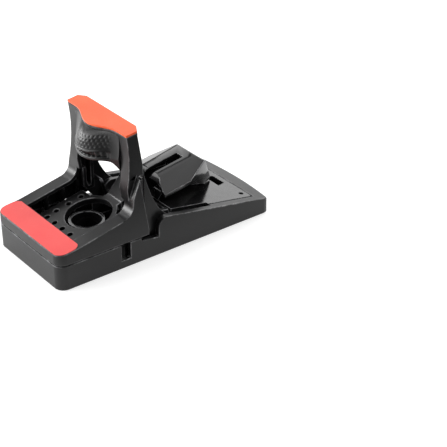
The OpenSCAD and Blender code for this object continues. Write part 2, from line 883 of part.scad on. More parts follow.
// Outline of the arms, thinned by t; the front face narrows in a curve towards the end.
module arm_side(t) {
    z0 = pivot_z + arm_low;
    bend = (arm_rear + t - (pedal_off + t) * cos(lean)) / sin(lean);
    polygon(concat(
        [[front_u + t, turn[1]]],
        [for (i = [0:5])
            let (s = neck_s + (cap_s - t - neck_s) * i / 5, q = (cap_s - s) / (cap_s - neck_s))
            lean_pt(s, end_t + (neck_t - end_t) * q * q - t)],
        [lean_pt(cap_s - t, t), lean_pt(bend, t), [rear_u - t, z0 + t],
            [rear_u - foot_l + t / 2, z0 + t],
            [front_u + shell_t + t, z0 + foot_rise + t], [front_u + shell_t + t, turn[1]]]));
}

module pedal_arm() {
    difference() {
        across(-plate_y, -arm_y) arm_side(0);
        across(arm_t - plate_y, 1 - arm_y) arm_side(arm_t);
        translate([lean_pt(arm_hole_s, arm_hole_t)[0], -hw, lean_pt(arm_hole_s, arm_hole_t)[1]])
            rotate([-90, 0, 0]) cylinder(h = arm_in, d = arm_hole_d);
    }
}

module pedal_arm_near() {
    color("gray") place() pedal_arm();
}

module pedal_arm_far() {
    color("gray") place() mirror([0, 1, 0]) pedal_arm();
}

// Corner angle of a line from a point that just touches the hub.
function touch(p, r, side) =
    let (d = p - [pivot_x, pivot_z], a = atan2(d[1], d[0]) + side * acos(r / norm(d)))
    [pivot_x + r * cos(a), pivot_z + r * sin(a)];

module jaw_ear() {
    z0 = pivot_z + arm_low;
    r = hub_d / 2;
    y0 = hw - slot_in - ear_gap;
    y1 = hw - slot_in - slot_w + ear_gap;
    top = [rear_u, pivot_z + ear_top];
    bend = [pivot_x - bend_x, pivot_z + bend_h];
    tip = [pivot_x + tip_x, pivot_z + tip_h];
    difference() {
        union() {
            across(-y0, -y1)
                polygon(concat(
                    [[rear_u - foot_l, z0], touch([rear_u - foot_l, z0], r, 1), [pivot_x, pivot_z],
                        touch(tip, r, -1)],
                    [for (i = [0:8]) let (q = i / 8)
                        (1 - q) * (1 - q) * tip + 2 * q * (1 - q) * bend + q * q * top]));
            translate([pivot_x, -y0, pivot_z])
                rotate([-90, 0, 0]) cylinder(h = y0 - y1, r = r);
        }
        translate([0, -y0 - 1, z0]) cube([rear_u, y0 - y1 + 2, far]);
        axle_bore(-y0 - 1, 1 - y1, run_gap);
    }
}

module jaw_ear_near() {
    color("lightslategray") place() jaw_ear();
}

module jaw_ear_far() {
    color("lightslategray") place() mirror([0, 1, 0]) jaw_ear();
}

// Depth of the dome at height share q and width share p.
function dome_depth(q, p) =
    let (
        crest = q < 0.3 ? dome_lip + (dome_t - dome_lip) * sin(300 * q)
            : dome_t - (dome_t - end_bell) * pow((q - 0.3) / 0.7, 2.6),
        edge = end_t + 2 * pow(1 - q, 1.5))
    edge + (crest - edge) * pow(max(0, cos(90 * p)), 1.3 + 0.9 * q);

module pedal_dome() {
    nu = 24;
    ns = 9;
    row = ns + 1;
    half = (nu + 1) * row;
    pts = [for (k = [0, 1], i = [0:nu], j = [0:ns])
        let (
            p = 2 * i / nu - 1,
            s0 = dome_s - dome_drop * pow(p, 4),
            s = s0 + (cap_s - s0) * j / ns,
            q = max(0, (s - dome_s) / (cap_s - dome_s)),
            t = dome_depth(q, p) - k * dome_wall)
        [-t, p * arm_y, s]];
    skin = [for (k = [0, 1], i = [0:nu - 1], j = [0:ns - 1])
        let (a = k * half + i * row + j, b = a + 1, c = a + row + 1, d = a + row)
        each k == 0 ? [[a, b, c], [a, c, d]] : [[a, c, b], [a, d, c]]];
    ends = [for (i = [0:nu - 1], j = [0, ns])
        let (a = i * row + j, b = a + row, c = b + half, d = a + half)
        each j == 0 ? [[a, b, c], [a, c, d]] : [[a, c, b], [a, d, c]]];
    sides = [for (i = [0, nu], j = [0:ns - 1])
        let (a = i * row + j, b = a + 1, c = b + half, d = a + half)
        each i == 0 ? [[a, c, b], [a, d, c]] : [[a, b, c], [a, c, d]]];
    color("slategray") place() leaned()
        polyhedron(pts, concat(skin, ends, sides));
}

module end_outline() {
    y1 = plate_y - bulge_in;
    polygon(concat(
        [[0, -plate_y], [-end_t, -plate_y]],
        [for (i = [-12:12]) [-dome_depth(1, i / 12), arm_y * i / 12]],
        [[-end_t, plate_y], [0, plate_y], [end_back, y1], [end_back, -y1]]));
}

module pedal_cap() {
    color("slategray") place() leaned()
        translate([0, 0, cap_s]) linear_extrude(cap_t) end_outline();
}

module pedal_pad() {
    color("orangered") place() leaned()
        translate([0, 0, cap_s + cap_t]) linear_extrude(pad_t) end_outline();
}

// Springs

function unit(v) = v / norm(v);
function heading(p, i) = unit(p[min(i + 1, len(p) - 1)] - p[max(i - 1, 0)]);
function carried(p, i, n) = i >= len(p) ? [] :
    let (t = heading(p, i), m = unit(n - (n * t) * t)) concat([m], carried(p, i + 1, m));

module wire(path, r) {
    n = 6;
    m = len(path);
    side = carried(path, 0, [1, 0, 0.2]);
    pts = [for (i = [0:m - 1], k = [0:n - 1])
        path[i] + r * (cos(360 * k / n) * side[i] + sin(360 * k / n) * cross(heading(path, i), side[i]))];
    walls = [for (i = [0:m - 2], k = [0:n - 1])
        let (a = i * n + k, b = i * n + (k + 1) % n, c = b + n, d = a + n)
        each [[a, c, b], [a, d, c]]];
    caps = [for (k = [1:n - 2]) each [[0, k, k + 1], [(m - 1) * n, (m - 1) * n + k + 1, (m - 1) * n + k]]];
    polyhedron(pts, concat(walls, caps));
}

leg_from = let (d = hook - [pivot_x, pivot_z]) atan2(d[1], d[0]) + acos(coil_r / norm(d));
coil_sweep = 360 * coil_n + 270 - leg_from;
coil_steps = 8 * (coil_n + 1);
coil_out = coil_in + coil_pitch * coil_sweep / 360;

function coil_at(f) =
    let (a = leg_from + coil_sweep * f)
    [pivot_x + coil_r * cos(a), (coil_out - coil_in) * f - coil_out,
        pivot_z + coil_r * sin(a)];

// The moving leg runs down a straight line from its hooked end to the coil.
leg_line = let (a = coil_at(0), d = [a[0] - hook[0], 0, a[2] - hook[1]]) bend_r * d / norm(d);
corner = 1 - cos(45);

spring_path = concat(
    [[hook[0], -arm_y - hook_in, hook[1]], [hook[0], -coil_out - bend_r, hook[1]],
        [hook[0], -coil_out - corner * bend_r, hook[1]] + corner * leg_line,
        [hook[0], -coil_out, hook[1]] + leg_line],
    [for (i = [0:coil_steps]) coil_at(i / coil_steps)],
    [[pivot_x + leg_l, -coil_in, pivot_z - coil_r]]);

coil_gap_least = min([for (i = [0:coil_steps - 8])
    norm(coil_at(i / coil_steps) - coil_at((i + 360 / coil_sweep * coil_steps) / coil_steps))]) - wire_d;
echo(spring_self_gap = coil_gap_least);

module spring_near() {
    color("silver") place() wire(spring_path, wire_d / 2);
}

module spring_far() {
    color("silver") place() mirror([0, 1, 0]) wire(spring_path, wire_d / 2);
}

base_shell();
deck_panel();
spring_housing();
bait_cup();
front_posts();
near_posts();
far_posts();
spring_seats();
main_axle();
trigger_plate();
trigger_spine();
trigger_catch();
jaw_bar();
jaw_side_near();
jaw_side_far();
bar_teeth();
near_teeth();
far_teeth();
label_strip();
pedal_arm_near();
pedal_arm_far();
jaw_ear_near();
jaw_ear_far();
pedal_dome();
pedal_cap();
pedal_pad();
spring_near();
spring_far();
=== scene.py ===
import bpy
import bmesh
import json
from math import radians, sin, cos, tan, atan2, acos, hypot, exp, pi
from mathutils import Matrix, Vector


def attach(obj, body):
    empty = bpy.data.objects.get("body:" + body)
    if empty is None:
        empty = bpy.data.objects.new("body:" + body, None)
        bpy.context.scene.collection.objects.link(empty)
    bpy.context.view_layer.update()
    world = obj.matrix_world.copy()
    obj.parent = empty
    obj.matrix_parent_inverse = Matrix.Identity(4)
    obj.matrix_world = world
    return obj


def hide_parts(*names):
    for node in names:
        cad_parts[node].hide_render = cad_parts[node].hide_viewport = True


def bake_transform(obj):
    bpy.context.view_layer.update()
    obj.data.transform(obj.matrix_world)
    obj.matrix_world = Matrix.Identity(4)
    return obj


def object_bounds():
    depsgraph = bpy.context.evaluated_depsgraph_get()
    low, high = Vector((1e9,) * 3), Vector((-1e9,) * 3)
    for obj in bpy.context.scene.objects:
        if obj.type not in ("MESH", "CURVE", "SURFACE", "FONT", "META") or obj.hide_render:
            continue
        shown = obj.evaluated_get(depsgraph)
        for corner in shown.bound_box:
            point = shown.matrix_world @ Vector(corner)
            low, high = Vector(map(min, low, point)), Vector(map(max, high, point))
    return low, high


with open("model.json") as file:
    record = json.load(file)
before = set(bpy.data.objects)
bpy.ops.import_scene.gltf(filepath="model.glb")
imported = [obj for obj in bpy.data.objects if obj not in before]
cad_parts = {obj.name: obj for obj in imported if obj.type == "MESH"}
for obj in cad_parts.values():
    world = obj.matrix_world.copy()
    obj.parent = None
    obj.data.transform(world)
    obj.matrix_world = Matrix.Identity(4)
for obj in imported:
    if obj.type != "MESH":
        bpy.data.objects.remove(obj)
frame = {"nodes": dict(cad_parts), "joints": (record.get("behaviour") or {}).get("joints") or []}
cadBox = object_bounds()
mm = 0.001
pivotX, pivotZ = [frame["joints"][0]["pos_m"][at] / mm for at in (0, 2)]
print("frame loaded")


def placed(name, data):
    made = bpy.data.objects.new(name, data)
    bpy.context.scene.collection.objects.link(made)
    return made


# The mesh of a shape that is done with.
def meshOf(bm, name):
    mesh = bpy.data.meshes.new(name)
    bm.to_mesh(mesh)
    bm.free()
    return mesh


# A socket that adds its Math nodes as an expression is written.
class Value:
    def __init__(self, tree, socket):
        self.tree, self.socket = tree, socket

    def math(self, operation, a, b):
        node = self.tree.nodes.new("ShaderNodeMath")
        node.operation = operation
        for slot, part in zip(node.inputs, (a, b)):
            if isinstance(part, Value):
                self.tree.links.new(part.socket, slot)
            else:
                slot.default_value = part
        return Value(self.tree, node.outputs[0])

    def __add__(self, other):
        return self.math("ADD", self, other)

    def __radd__(self, other):
        return self.math("ADD", other, self)

    def __mul__(self, other):
        return self.math("MULTIPLY", self, other)

    def __rmul__(self, other):
        return self.math("MULTIPLY", other, self)


# A material on Object coordinates, and the nodes that feed its shader.
class Finish:
    def __init__(self, name):
        self.material = bpy.data.materials.new(name)
        self.material.use_nodes = True
        self.tree = self.material.node_tree
        self.shader = next(n for n in self.tree.nodes if n.type == "BSDF_PRINCIPLED")
        self.place = self.node("ShaderNodeTexCoord").outputs["Object"]
        self.normal = None

    # A node by its type: its settings first, then values or links for its sockets.
    def node(self, kind, settings=None, values=None):
        made = self.tree.nodes.new(kind)
        for key, setting in (settings or {}).items():
            setattr(made, key, setting)
        for key, value in (values or {}).items():
            self.feed(made.inputs[key], value)
        return made

    def feed(self, slot, value):
        if isinstance(value, Value):
            self.tree.links.new(value.socket, slot)
        elif isinstance(value, bpy.types.NodeSocket):
            self.tree.links.new(value, slot)
        else:
            slot.default_value = value

    def noise(self, scale, detail, stretch=None, rough=0.55):
        where = self.place
        if stretch:
            where = self.node("ShaderNodeMapping", None, {"Vector": where, "Scale": stretch}).outputs[0]
        made = self.node("ShaderNodeTexNoise", None,
                         {"Vector": where, "Scale": scale, "Detail": detail, "Roughness": rough})
        return Value(self.tree, made.outputs["Fac"])

    def band(self, value, low, high, to=(0, 1)):
        made = self.node("ShaderNodeMapRange", {"clamp": True},
                         {"Value": value, "From Min": low, "From Max": high,
                          "To Min": to[0], "To Max": to[1]})
        return Value(self.tree, made.outputs[0])

    def blend(self, factor, a, b):
        made = self.node("ShaderNodeMix", {"data_type": "RGBA"}, {0: factor, 6: (*a, 1), 7: (*b, 1)})
        return made.outputs[2]

    # Each bump stands on the one before it.
    def bump(self, height, depth):
        values = {"Height": height, "Strength": 1.0, "Distance": depth * mm}
        if self.normal:
            values["Normal"] = self.normal
        self.normal = self.node("ShaderNodeBump", None, values).outputs[0]
        self.feed(self.shader.inputs["Normal"], self.normal)

    def set(self, **values):
        for key, value in values.items():
            self.feed(self.shader.inputs[key.replace("_", " ")], value)


plasticLook = {
    "dark": (0.0045, 0.0045, 0.0048),
    "worn": (0.013, 0.013, 0.0135),
    "mottle": 55,  # this and the next three are how fine a pattern is
    "scuff": 260,
    "sink": 70,
    "grain": 1400,
    "scuffs": (0.60, 0.74),  # where scuffs begin and are full
    "scuffRun": (1, 5, 2),
    "scuffRough": 0.08,
    "wear": (0.35, 1.0),
}


# Depths are in millimetres; sink marks are slow waves that bend the reflections.
def plastic(name, roughness, grainDepth, sinkDepth, index):
    f = Finish(name)
    mottle = f.noise(plasticLook["mottle"], 4)
    grain = f.noise(plasticLook["grain"], 2)
    scuff = f.band(f.noise(plasticLook["scuff"], 6, plasticLook["scuffRun"], 0.7), *plasticLook["scuffs"])
    wear = f.band(mottle + scuff * 0.5, *plasticLook["wear"])
    rough = f.band(mottle * 0.7 + grain * 0.3, 0.3, 0.7, roughness) + scuff * plasticLook["scuffRough"]
    f.set(Base_Color=f.blend(wear, plasticLook["dark"], plasticLook["worn"]), Roughness=rough, IOR=index)
    f.bump(f.noise(plasticLook["sink"], 2), sinkDepth)
    f.bump(grain, grainDepth)
    return f.material


satin = plastic("satinPlastic", roughness=(0.28, 0.40), grainDepth=0.010, sinkDepth=0.05, index=1.44)
gloss = plastic("glossPlastic", roughness=(0.07, 0.15), grainDepth=0.002, sinkDepth=0.14, index=1.5)
panelGloss = plastic("panelPlastic", roughness=(0.12, 0.22), grainDepth=0.003, sinkDepth=0.22, index=1.5)

# Edge colours are a painted highlight: even the darkest is paler than the faces, standing in for edge
# glints.
edgeLook = {
    "dark": (0.02, 0.02, 0.0205),
    "glintPaint": (0.16, 0.16, 0.165),
    "fineness": 180,
    "glintPatches": (0.40, 0.62),  # where the painted highlight patches begin and are full
    "roughness": (0.16, 0.30),
    "grain": (900, 0.004),  # how fine and how deep
}


# Edges are painted paler, a painted highlight that stands in for edge glints, in patches; there they are
# also smoother than the faces they part.
def paintedGlintEdge():
    f = Finish("edgeGlintPaint")
    paintedGlint = f.band(f.noise(edgeLook["fineness"], 5, rough=0.65), *edgeLook["glintPatches"])
    f.set(Base_Color=f.blend(paintedGlint, edgeLook["dark"], edgeLook["glintPaint"]),
          Roughness=f.band(paintedGlint, 0, 1, edgeLook["roughness"]), IOR=1.5)
    fine, deep = edgeLook["grain"]
    f.bump(f.noise(fine, 3), deep)
    return f.material


# the edge finish with the painted highlight
edgeGlintPaint = paintedGlintEdge()

steelLook = {
    "streak": 900,
    "stain": 120,
    "stains": (0.45, 0.75),  # where stains begin and are full
    "darker": 0.5,
    "stainRough": 0.08,
    "depth": 0.004,
}


# Drawn steel, with streaks along its length and darker stains.
def steel(name, colour, roughness, stretch):
    f = Finish(name)
    streak = f.noise(steelLook["streak"], 3, stretch)
    stain = f.band(f.noise(steelLook["stain"], 5), *steelLook["stains"])
    dark = tuple(steelLook["darker"] * c for c in colour)
    f.set(Base_Color=f.blend(stain, colour, dark), Metallic=1.0,
          Roughness=f.band(streak, 0.3, 0.7, roughness) + stain * steelLook["stainRough"])
    f.bump(streak, steelLook["depth"])
    return f.material


rodSteel = steel("rodSteel", colour=(0.20, 0.20, 0.205), roughness=(0.22, 0.36), stretch=(1, 0.08, 1))
wireSteel = steel("wireSteel", colour=(0.06, 0.06, 0.065), roughness=(0.26, 0.40), stretch=(1, 1, 1))

colourLook = {
    "mottle": 70,
    "speck": 420,
    "specks": (0.62, 0.72),  # where specks begin and are full
    "fading": (0.3, 0.9),
}


# The label and the pad: a faded mottle with specks, on a fine grain.
def coloured(name, base, faded, roughness, grain, depth):
    f = Finish(name)
    mottle = f.noise(colourLook["mottle"], 4)
    fine = f.noise(grain, 3)
    speck = f.band(f.noise(colourLook["speck"], 5, rough=0.7), *colourLook["specks"])
    f.set(Base_Color=f.blend(f.band(mottle + speck * 0.3, *colourLook["fading"]), base, faded),
          Roughness=f.band(fine, 0.3, 0.7, roughness))
    f.bump(fine + mottle * 2, depth)
    return f.material


labelRed = coloured("labelRed", base=(0.70, 0.052, 0.050), faded=(0.76, 0.085, 0.078),
                    roughness=(0.34, 0.46), grain=1500, depth=0.005)
padOrange = coloured("padOrange", base=(0.78, 0.078, 0.008), faded=(0.83, 0.115, 0.025),
                     roughness=(0.36, 0.48), grain=1700, depth=0.008)
print("finishes made")


# How near points are welded, and below what angle faces are one.
tolerance = {"frame": 0.004 * mm, "carved": 0.01 * mm, "wire": 0.001 * mm, "flat": radians(0.6)}


# Loose triangles become whole faces.
def cleaned(bm):
    bmesh.ops.dissolve_limit(bm, angle_limit=tolerance["flat"], use_dissolve_boundaries=False,
                             verts=bm.verts, edges=bm.edges, delimit=set())
    return bm


def joined(node):
    bm = bmesh.new()
    bm.from_mesh(frame["nodes"][node].data)
    bmesh.ops.remove_doubles(bm, verts=bm.verts, dist=tolerance["frame"])
    return cleaned(bm)


# The first shape with the others added to it or cut from it in turn.
def carved(first, steps):
    whole = placed("part", meshOf(first, "part"))
    parts = [whole]
    for operation, other in steps:
        part = placed("part", meshOf(other, "part"))
        cut = whole.modifiers.new("cut", "BOOLEAN")
        cut.operation, cut.solver, cut.object = operation, "EXACT", part
        parts.append(part)
    bm = bmesh.new()
    bm.from_object(whole, bpy.context.evaluated_depsgraph_get())
    for part in parts:
        bpy.data.objects.remove(part)
    bmesh.ops.remove_doubles(bm, verts=bm.verts, dist=tolerance["carved"])
    bmesh.ops.dissolve_degenerate(bm, edges=bm.edges, dist=tolerance["carved"])
    return cleaned(bm)


# Several nodes of one moulding become one skin.
def fused(nodes):
    return carved(joined(nodes[0]), [("UNION", joined(node)) for node in nodes[1:]])


# A closed prism in millimetres: an outline, run from low to high along one axis.
def prism(outline, low, high, along="z"):
    at = "xyz".index(along)
    step = [0, 0, 0]
    step[at] = high - low
    bm = bmesh.new()
    ring = [bm.verts.new((*point[:at], low, *point[at:])) for point in outline]
    grown = bmesh.ops.extrude_face_region(bm, geom=[bm.faces.new(ring)])["geom"]
    bmesh.ops.translate(bm, verts=[v for v in grown if isinstance(v, bmesh.types.BMVert)], vec=step)
    bmesh.ops.scale(bm, verts=bm.verts, vec=(mm, mm, mm))
    bmesh.ops.recalc_face_normals(bm, faces=bm.faces)
    return bm


def mirrored(half):
    return half + [(x, -y) for x, y in reversed(half)]


# Where the edges stay sharp: a neighbour passes close by the first place, and thin strips
# beside the ears' slots fill the second. From and to in x, in half width and in z.
tightPlaces = {"base_shell": [(4.6, 7.0, 16.4, 18.3, 9.5, 14.5), (5, 30, 19.8, 20.7, 3, 10.3)]}


# Rounded edges; their faces take the edge finish with the painted highlight in the second slot.
def roundEdges(bm, rounding, node="", segments=2, sharp=28):
    edges = [e for e in bm.edges if len(e.link_faces) == 2 and e.calc_face_angle() > radians(sharp)]
    for x0, x1, y0, y1, z0, z1 in tightPlaces.get(node, []):
        middles = {e: (e.verts[0].co + e.verts[1].co) / 2 / mm for e in edges}
        edges = [e for e in edges if not (x0 < middles[e].x < x1 and y0 < abs(middles[e].y) < y1
                                          and z0 < middles[e].z < z1)]
    made = bmesh.ops.bevel(bm, geom=edges, offset=rounding * mm, offset_type="OFFSET", segments=segments,
                           profile=0.5, affect="EDGES", clamp_overlap=False, material=-1)
    for face in made["faces"]:
        face.material_index = 1


# A shape becomes a piece that stands for its nodes. A piece given no body is not attached.
def finished(bm, name, nodes, body, slot, finish, crease=40):
    # black plastic gets the edge finish with the painted highlight on its rounded edges
    worn = slot == "black_plastic"
    for face in bm.faces:
        face.smooth = True
        if not worn:
            face.material_index = 0
    for e in bm.edges:
        e.smooth = len(e.link_faces) == 2 and e.calc_face_angle() < radians(crease)
    mesh = meshOf(bm, name)
    mesh.materials.append(finish)
    if worn:
        mesh.materials.append(edgeGlintPaint)
    piece = placed(name, mesh)
    weight = piece.modifiers.new("weight", "WEIGHTED_NORMAL")
    weight.keep_sharp = True
    weight.weight = 80
    if body:
        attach(piece, body)
    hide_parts(*nodes)
    return piece


baseLook = {
    "bow": 1.9,  # how far the rear corners stand ahead of the middle of the rear face
    "steps": 24,
    "skin": 0.02,  # what comes off the middle of that face
    "height": 12,
}


# What lies behind the base's bowed rear face.
def behindBow():
    end, half = cadBox[1][0] / mm - baseLook["skin"], cadBox[1][1] / mm + 0.1
    across = [half * (2 * k / baseLook["steps"] - 1) for k in range(baseLook["steps"] + 1)]
    bow = [(end - baseLook["bow"] * (y / half) ** 2, y) for y in across]
    behind = end + 2
    return prism(bow + [(behind, half), (behind, -half)], -1, baseLook["height"])


# Node, body, slot, finish and the rounding of its edges in millimetres.
mouldings = [
    ("base_shell", "base", "black_plastic", satin, 0.35),
    ("deck_panel", "base", "black_plastic", panelGloss, 0.2),
    ("bait_cup", "base", "black_plastic", gloss, 0.3),
    ("front_posts", "base", "black_plastic", gloss, 0.25),
    ("near_posts", "base", "black_plastic", gloss, 0.25),
    ("far_posts", "base", "black_plastic", gloss, 0.25),
    ("spring_seats", "base", "black_plastic", satin, 0.25),
    ("main_axle", "base", "steel_rod", rodSteel, 0.3),
    ("trigger_plate", "trigger", "black_plastic", satin, 0.3),
    ("trigger_spine", "trigger", "black_plastic", satin, 0.3),
    ("trigger_catch", "trigger", "black_plastic", gloss, 0.15),
    ("bar_teeth", "jaw", "black_plastic", gloss, 0),
    ("near_teeth", "jaw", "black_plastic", gloss, 0),
    ("far_teeth", "jaw", "black_plastic", gloss, 0),
    ("label_strip", "jaw", "red_label", labelRed, 0.05),
    ("jaw_ear_near", "jaw", "black_plastic", satin, 0.15),
    ("jaw_ear_far", "jaw", "black_plastic", satin, 0.15),
    ("pedal_pad", "jaw", "orange_pad", padOrange, 0.25),
]
for node, body, slot, finish, rounding in mouldings:
    bm = joined(node)
    if node == "base_shell":
        bm = carved(bm, [("DIFFERENCE", behindBow())])
    if rounding:
        roundEdges(bm, rounding, node)
    finished(bm, node + "_moulded", [node], body, slot, finish)

jawLook = {
    "nodes": ["jaw_bar", "jaw_side_near", "jaw_side_far", "pedal_arm_near", "pedal_arm_far", "pedal_cap"],
    "rounding": 0.3,
}


def jawMoulding():
    bm = fused(jawLook["nodes"])
    roundEdges(bm, jawLook["rounding"])
    finished(bm, "jaw_moulding", jawLook["nodes"], "jaw", "black_plastic", satin)


jawMoulding()
print("mouldings made")

housingLook = {
    "front": (4, 22.6),  # x of the front face and height of the roof there
    "rise": 9.7,
    "flat": 6,  # half width of the roof's flat
    "flank": 24,
    "roof": [(4, 14), (16.2, 14), (27.2, 8.9), (35.9, 0.5)],  # half outline from above
    "nose": [(4, 19.6), (4.9, 21.3), (6.4, 22.7), (8.6, 23.7), (8.6, 40)],
    "tail": [(24.8, 40), (24.8, 26.15), (27.2, 24.5), (35.9, 11.1)],
    "tailDrop": (0.7, 3.3),  # how far the tail and its foot move for each unit that the roof is lowered
    "thick": 1.3,
    "hull": [(4, 11.8, 19.2, 4, 8.6), (16.2, 12.3, 21.0, 14, 6.6),  # top x, y, z and foot x, y
             (27.0, 8.8, 23.7, 26, 1.6), (35.6, 0.45, 10.6, 31.5, 0.5)],
    "sunk": 0.2,  # how deep the foot stands in the deck
    "hollow": [(2, 6.4), (14, 4.4), (23, 1.0)],
    "slot": (2.1, 21.1, 17.8),  # half width, the x where it ends and its lowest height
    "skirt": [(16.4, 19.3), (36.5, 10.1), (36.5, 60), (16.4, 60)],  # side outline of the solid rear
    "rounding": 0.22,
    "deck": (-1.5, 15.4, 10.06),  # x and height where the deck begins, and its slope
}
aside, ahead, far = 40, -20, 60  # ends of the cutting prisms, past every piece


def deckHeight(x):
    start, height, slope = housingLook["deck"]
    return height - (x - start) * tan(radians(slope))


# The space under the roof's outer face, lowered by a drop.
def underRoof(drop):
    frontX, frontZ = housingLook["front"]
    flat, reach = housingLook["flat"], 20
    fall = reach * tan(radians(housingLook["flank"]))
    wide = flat + reach
    across = [(-flat, -drop), (flat, -drop), (wide, -drop - fall), (wide, -far),
              (-wide, -far), (-wide, -drop - fall)]
    bm = prism(across, ahead, far, "x")
    place = Matrix.Translation((frontX * mm, 0, frontZ * mm))
    bmesh.ops.transform(bm, matrix=place @ Matrix.Rotation(radians(-housingLook["rise"]), 4, "Y"),
                        verts=bm.verts)
    shrink, footDrop = housingLook["tailDrop"]
    nose = [(x - drop, z - drop) for x, z in housingLook["nose"]]
    tail = [(x - shrink * drop, z - shrink * drop) for x, z in housingLook["tail"][:-1]]
    endX, endZ = housingLook["tail"][-1]
    tail.append((endX + drop, endZ - footDrop * drop))
    side = [(tail[-1][0], 0), (nose[0][0], 0)] + nose + tail
    return carved(bm, [("INTERSECT", prism(side, -aside, aside, "y"))])


# The walls under the roof draw in towards a narrow foot on the deck.
def housingHull():
    bm = bmesh.new()
    rings = []
    for x, y, z, footX, footY in housingLook["hull"]:
        foot = deckHeight(footX) - housingLook["sunk"]
        corners = [(x, -y, z), (x, y, z), (footX, footY, foot), (footX, -footY, foot)]
        ring = [bm.verts.new((a * mm, b * mm, c * mm)) for a, b, c in corners]
        rings.append([bm.edges.new((ring[i], ring[(i + 1) % 4])) for i in range(4)])
    for first, second in zip(rings, rings[1:]):
        bmesh.ops.bridge_loops(bm, edges=first + second)
    bmesh.ops.holes_fill(bm, edges=rings[0] + rings[-1], sides=4)
    bmesh.ops.triangulate(bm, faces=bm.faces)
    bmesh.ops.recalc_face_normals(bm, faces=bm.faces)
    return bm


def springHousing():
    halfSlot, slotEnd, slotFoot = housingLook["slot"]
    thick = housingLook["thick"]
    below = carved(underRoof(thick), [("DIFFERENCE", prism(housingLook["skirt"], -aside, aside, "y"))])
    outline = prism(mirrored(housingLook["roof"]), 0, far)
    roof = carved(underRoof(0), [("INTERSECT", outline), ("DIFFERENCE", below)])
    hollow = carved(prism(mirrored(housingLook["hollow"]), 0, far), [("INTERSECT", underRoof(thick))])
    slot = prism(mirrored([(0, halfSlot), (slotEnd, halfSlot)]), slotFoot, far)
    bm = carved(roof, [("UNION", housingHull()), ("DIFFERENCE", hollow), ("DIFFERENCE", slot)])
    roundEdges(bm, housingLook["rounding"])
    finished(bm, "spring_housing_moulded", ["spring_housing"], "base", "black_plastic", gloss)


springHousing()

# Across the dome, places run from -1 to 1, and up it from 0 at the lip to 1 at the top.
domeLook = {
    "halfWidth": 14.7,
    "lip": 33.9,  # height of the lower lip in the middle, along the arms
    "drop": 5.3,  # how much lower the lip ends at the arms
    "sag": (1.7, 0.25, 0.85),  # how far the lip hangs down in the middle, and where that fades out
    "swell": (1.0, 0.4, 0.8),  # how far the dome swells out at the lip, and where that fades out
    "swellUp": (2, 7),
    "top": 43.6,
    "wall": 1.7,
    "faces": (150, 60),
    "fullest": 0.3,  # how far up the crest stands out most
    "crest": (12.4, 13.6, 9.0),  # depth at the lip, where it is fullest and at the top
    "crestFall": 2.6,
    "sides": (6.9, 4.9, 1.5),  # depth at the arms, at the lip and at the top, and its curve
    "round": (1.3, 2.2),  # how pointed the dome is from above, at the lip and at the top
    "grips": (0.62, 0.8),  # where the thumb grips fade out
    "roll": (1.5, 0.5, 0.1),  # height of the rounded lip, how far it stands out and its spread
    "groove": ((1.55, 1.85), (3.5, 3.8), 1.0),  # from and to of each of its edges, and depth
    "ribs": (0.3, 1.9),  # share of the groove's depth that they fill, and pitch
    "ridge": (4.1, 0.4, 0.28),  # place, height and spread
    "dimples": (1.5, 1.2, 0.32, 0.2),  # pitch across and up, radius, depth
    "dimplesFrom": 5.6,
    "dimpleRows": 4,
    "edge": 0.4,  # radius of the lip's lower edge
    "lean": 8.25,
    "offset": 2.5,  # how far ahead of the arms' line through the pivot the depths begin
}


def soft(value, low, high):
    t = min(1, max(0, (value - low) / (high - low)))
    return t * t * (3 - 2 * t)


# How far the dome stands out, q of the way up and p across.
def domeDepth(q, p):
    lip, full, top = domeLook["crest"]
    fullest = domeLook["fullest"]
    if q < fullest:
        crest = lip + (full - lip) * sin(pi / 2 * q / fullest)
    else:
        crest = full - (full - top) * ((q - fullest) / (1 - fullest)) ** domeLook["crestFall"]
    lipSide, topSide, curve = domeLook["sides"]
    side = topSide + (lipSide - topSide) * (1 - q) ** curve
    lipRound, topRound = domeLook["round"]
    return side + (crest - side) * max(0, cos(pi / 2 * p)) ** (lipRound + (topRound - lipRound) * q)


# How far the thumb grips stand out of the dome, d above the lip and p across.
def domeRelief(d, p):
    across = p * domeLook["halfWidth"]
    rollHeight, roll, spread = domeLook["roll"]
    out = roll * max(0, 1 - ((d - rollHeight / 2) / (rollHeight / 2 + spread)) ** 2) ** 0.5
    low, high, groove = domeLook["groove"]
    filled, pitch = domeLook["ribs"]
    ribs = 1 - filled + filled * cos(2 * pi * across / pitch)
    out -= groove * ribs * soft(d, *low) * (1 - soft(d, *high))
    ridgeAt, ridge, spread = domeLook["ridge"]
    out += ridge * exp(-((d - ridgeAt) / spread) ** 2)
    pitch, rise, radius, depth = domeLook["dimples"]
    start = domeLook["dimplesFrom"]
    row = round((d - start) / rise)
    if 0 <= row < domeLook["dimpleRows"]:
        shift = pitch / 2 if row % 2 else 0
        beside = across - shift - pitch * round((across - shift) / pitch)
        above = d - start - row * rise
        out -= depth * exp(-(beside * beside + above * above) / radius ** 2)
    radius = domeLook["edge"]
    inside = max(0, radius - d) / radius
    fades = 1 - soft(abs(p), *domeLook["grips"])
    return out * fades - radius * (1 - (1 - inside ** 2) ** 0.5)


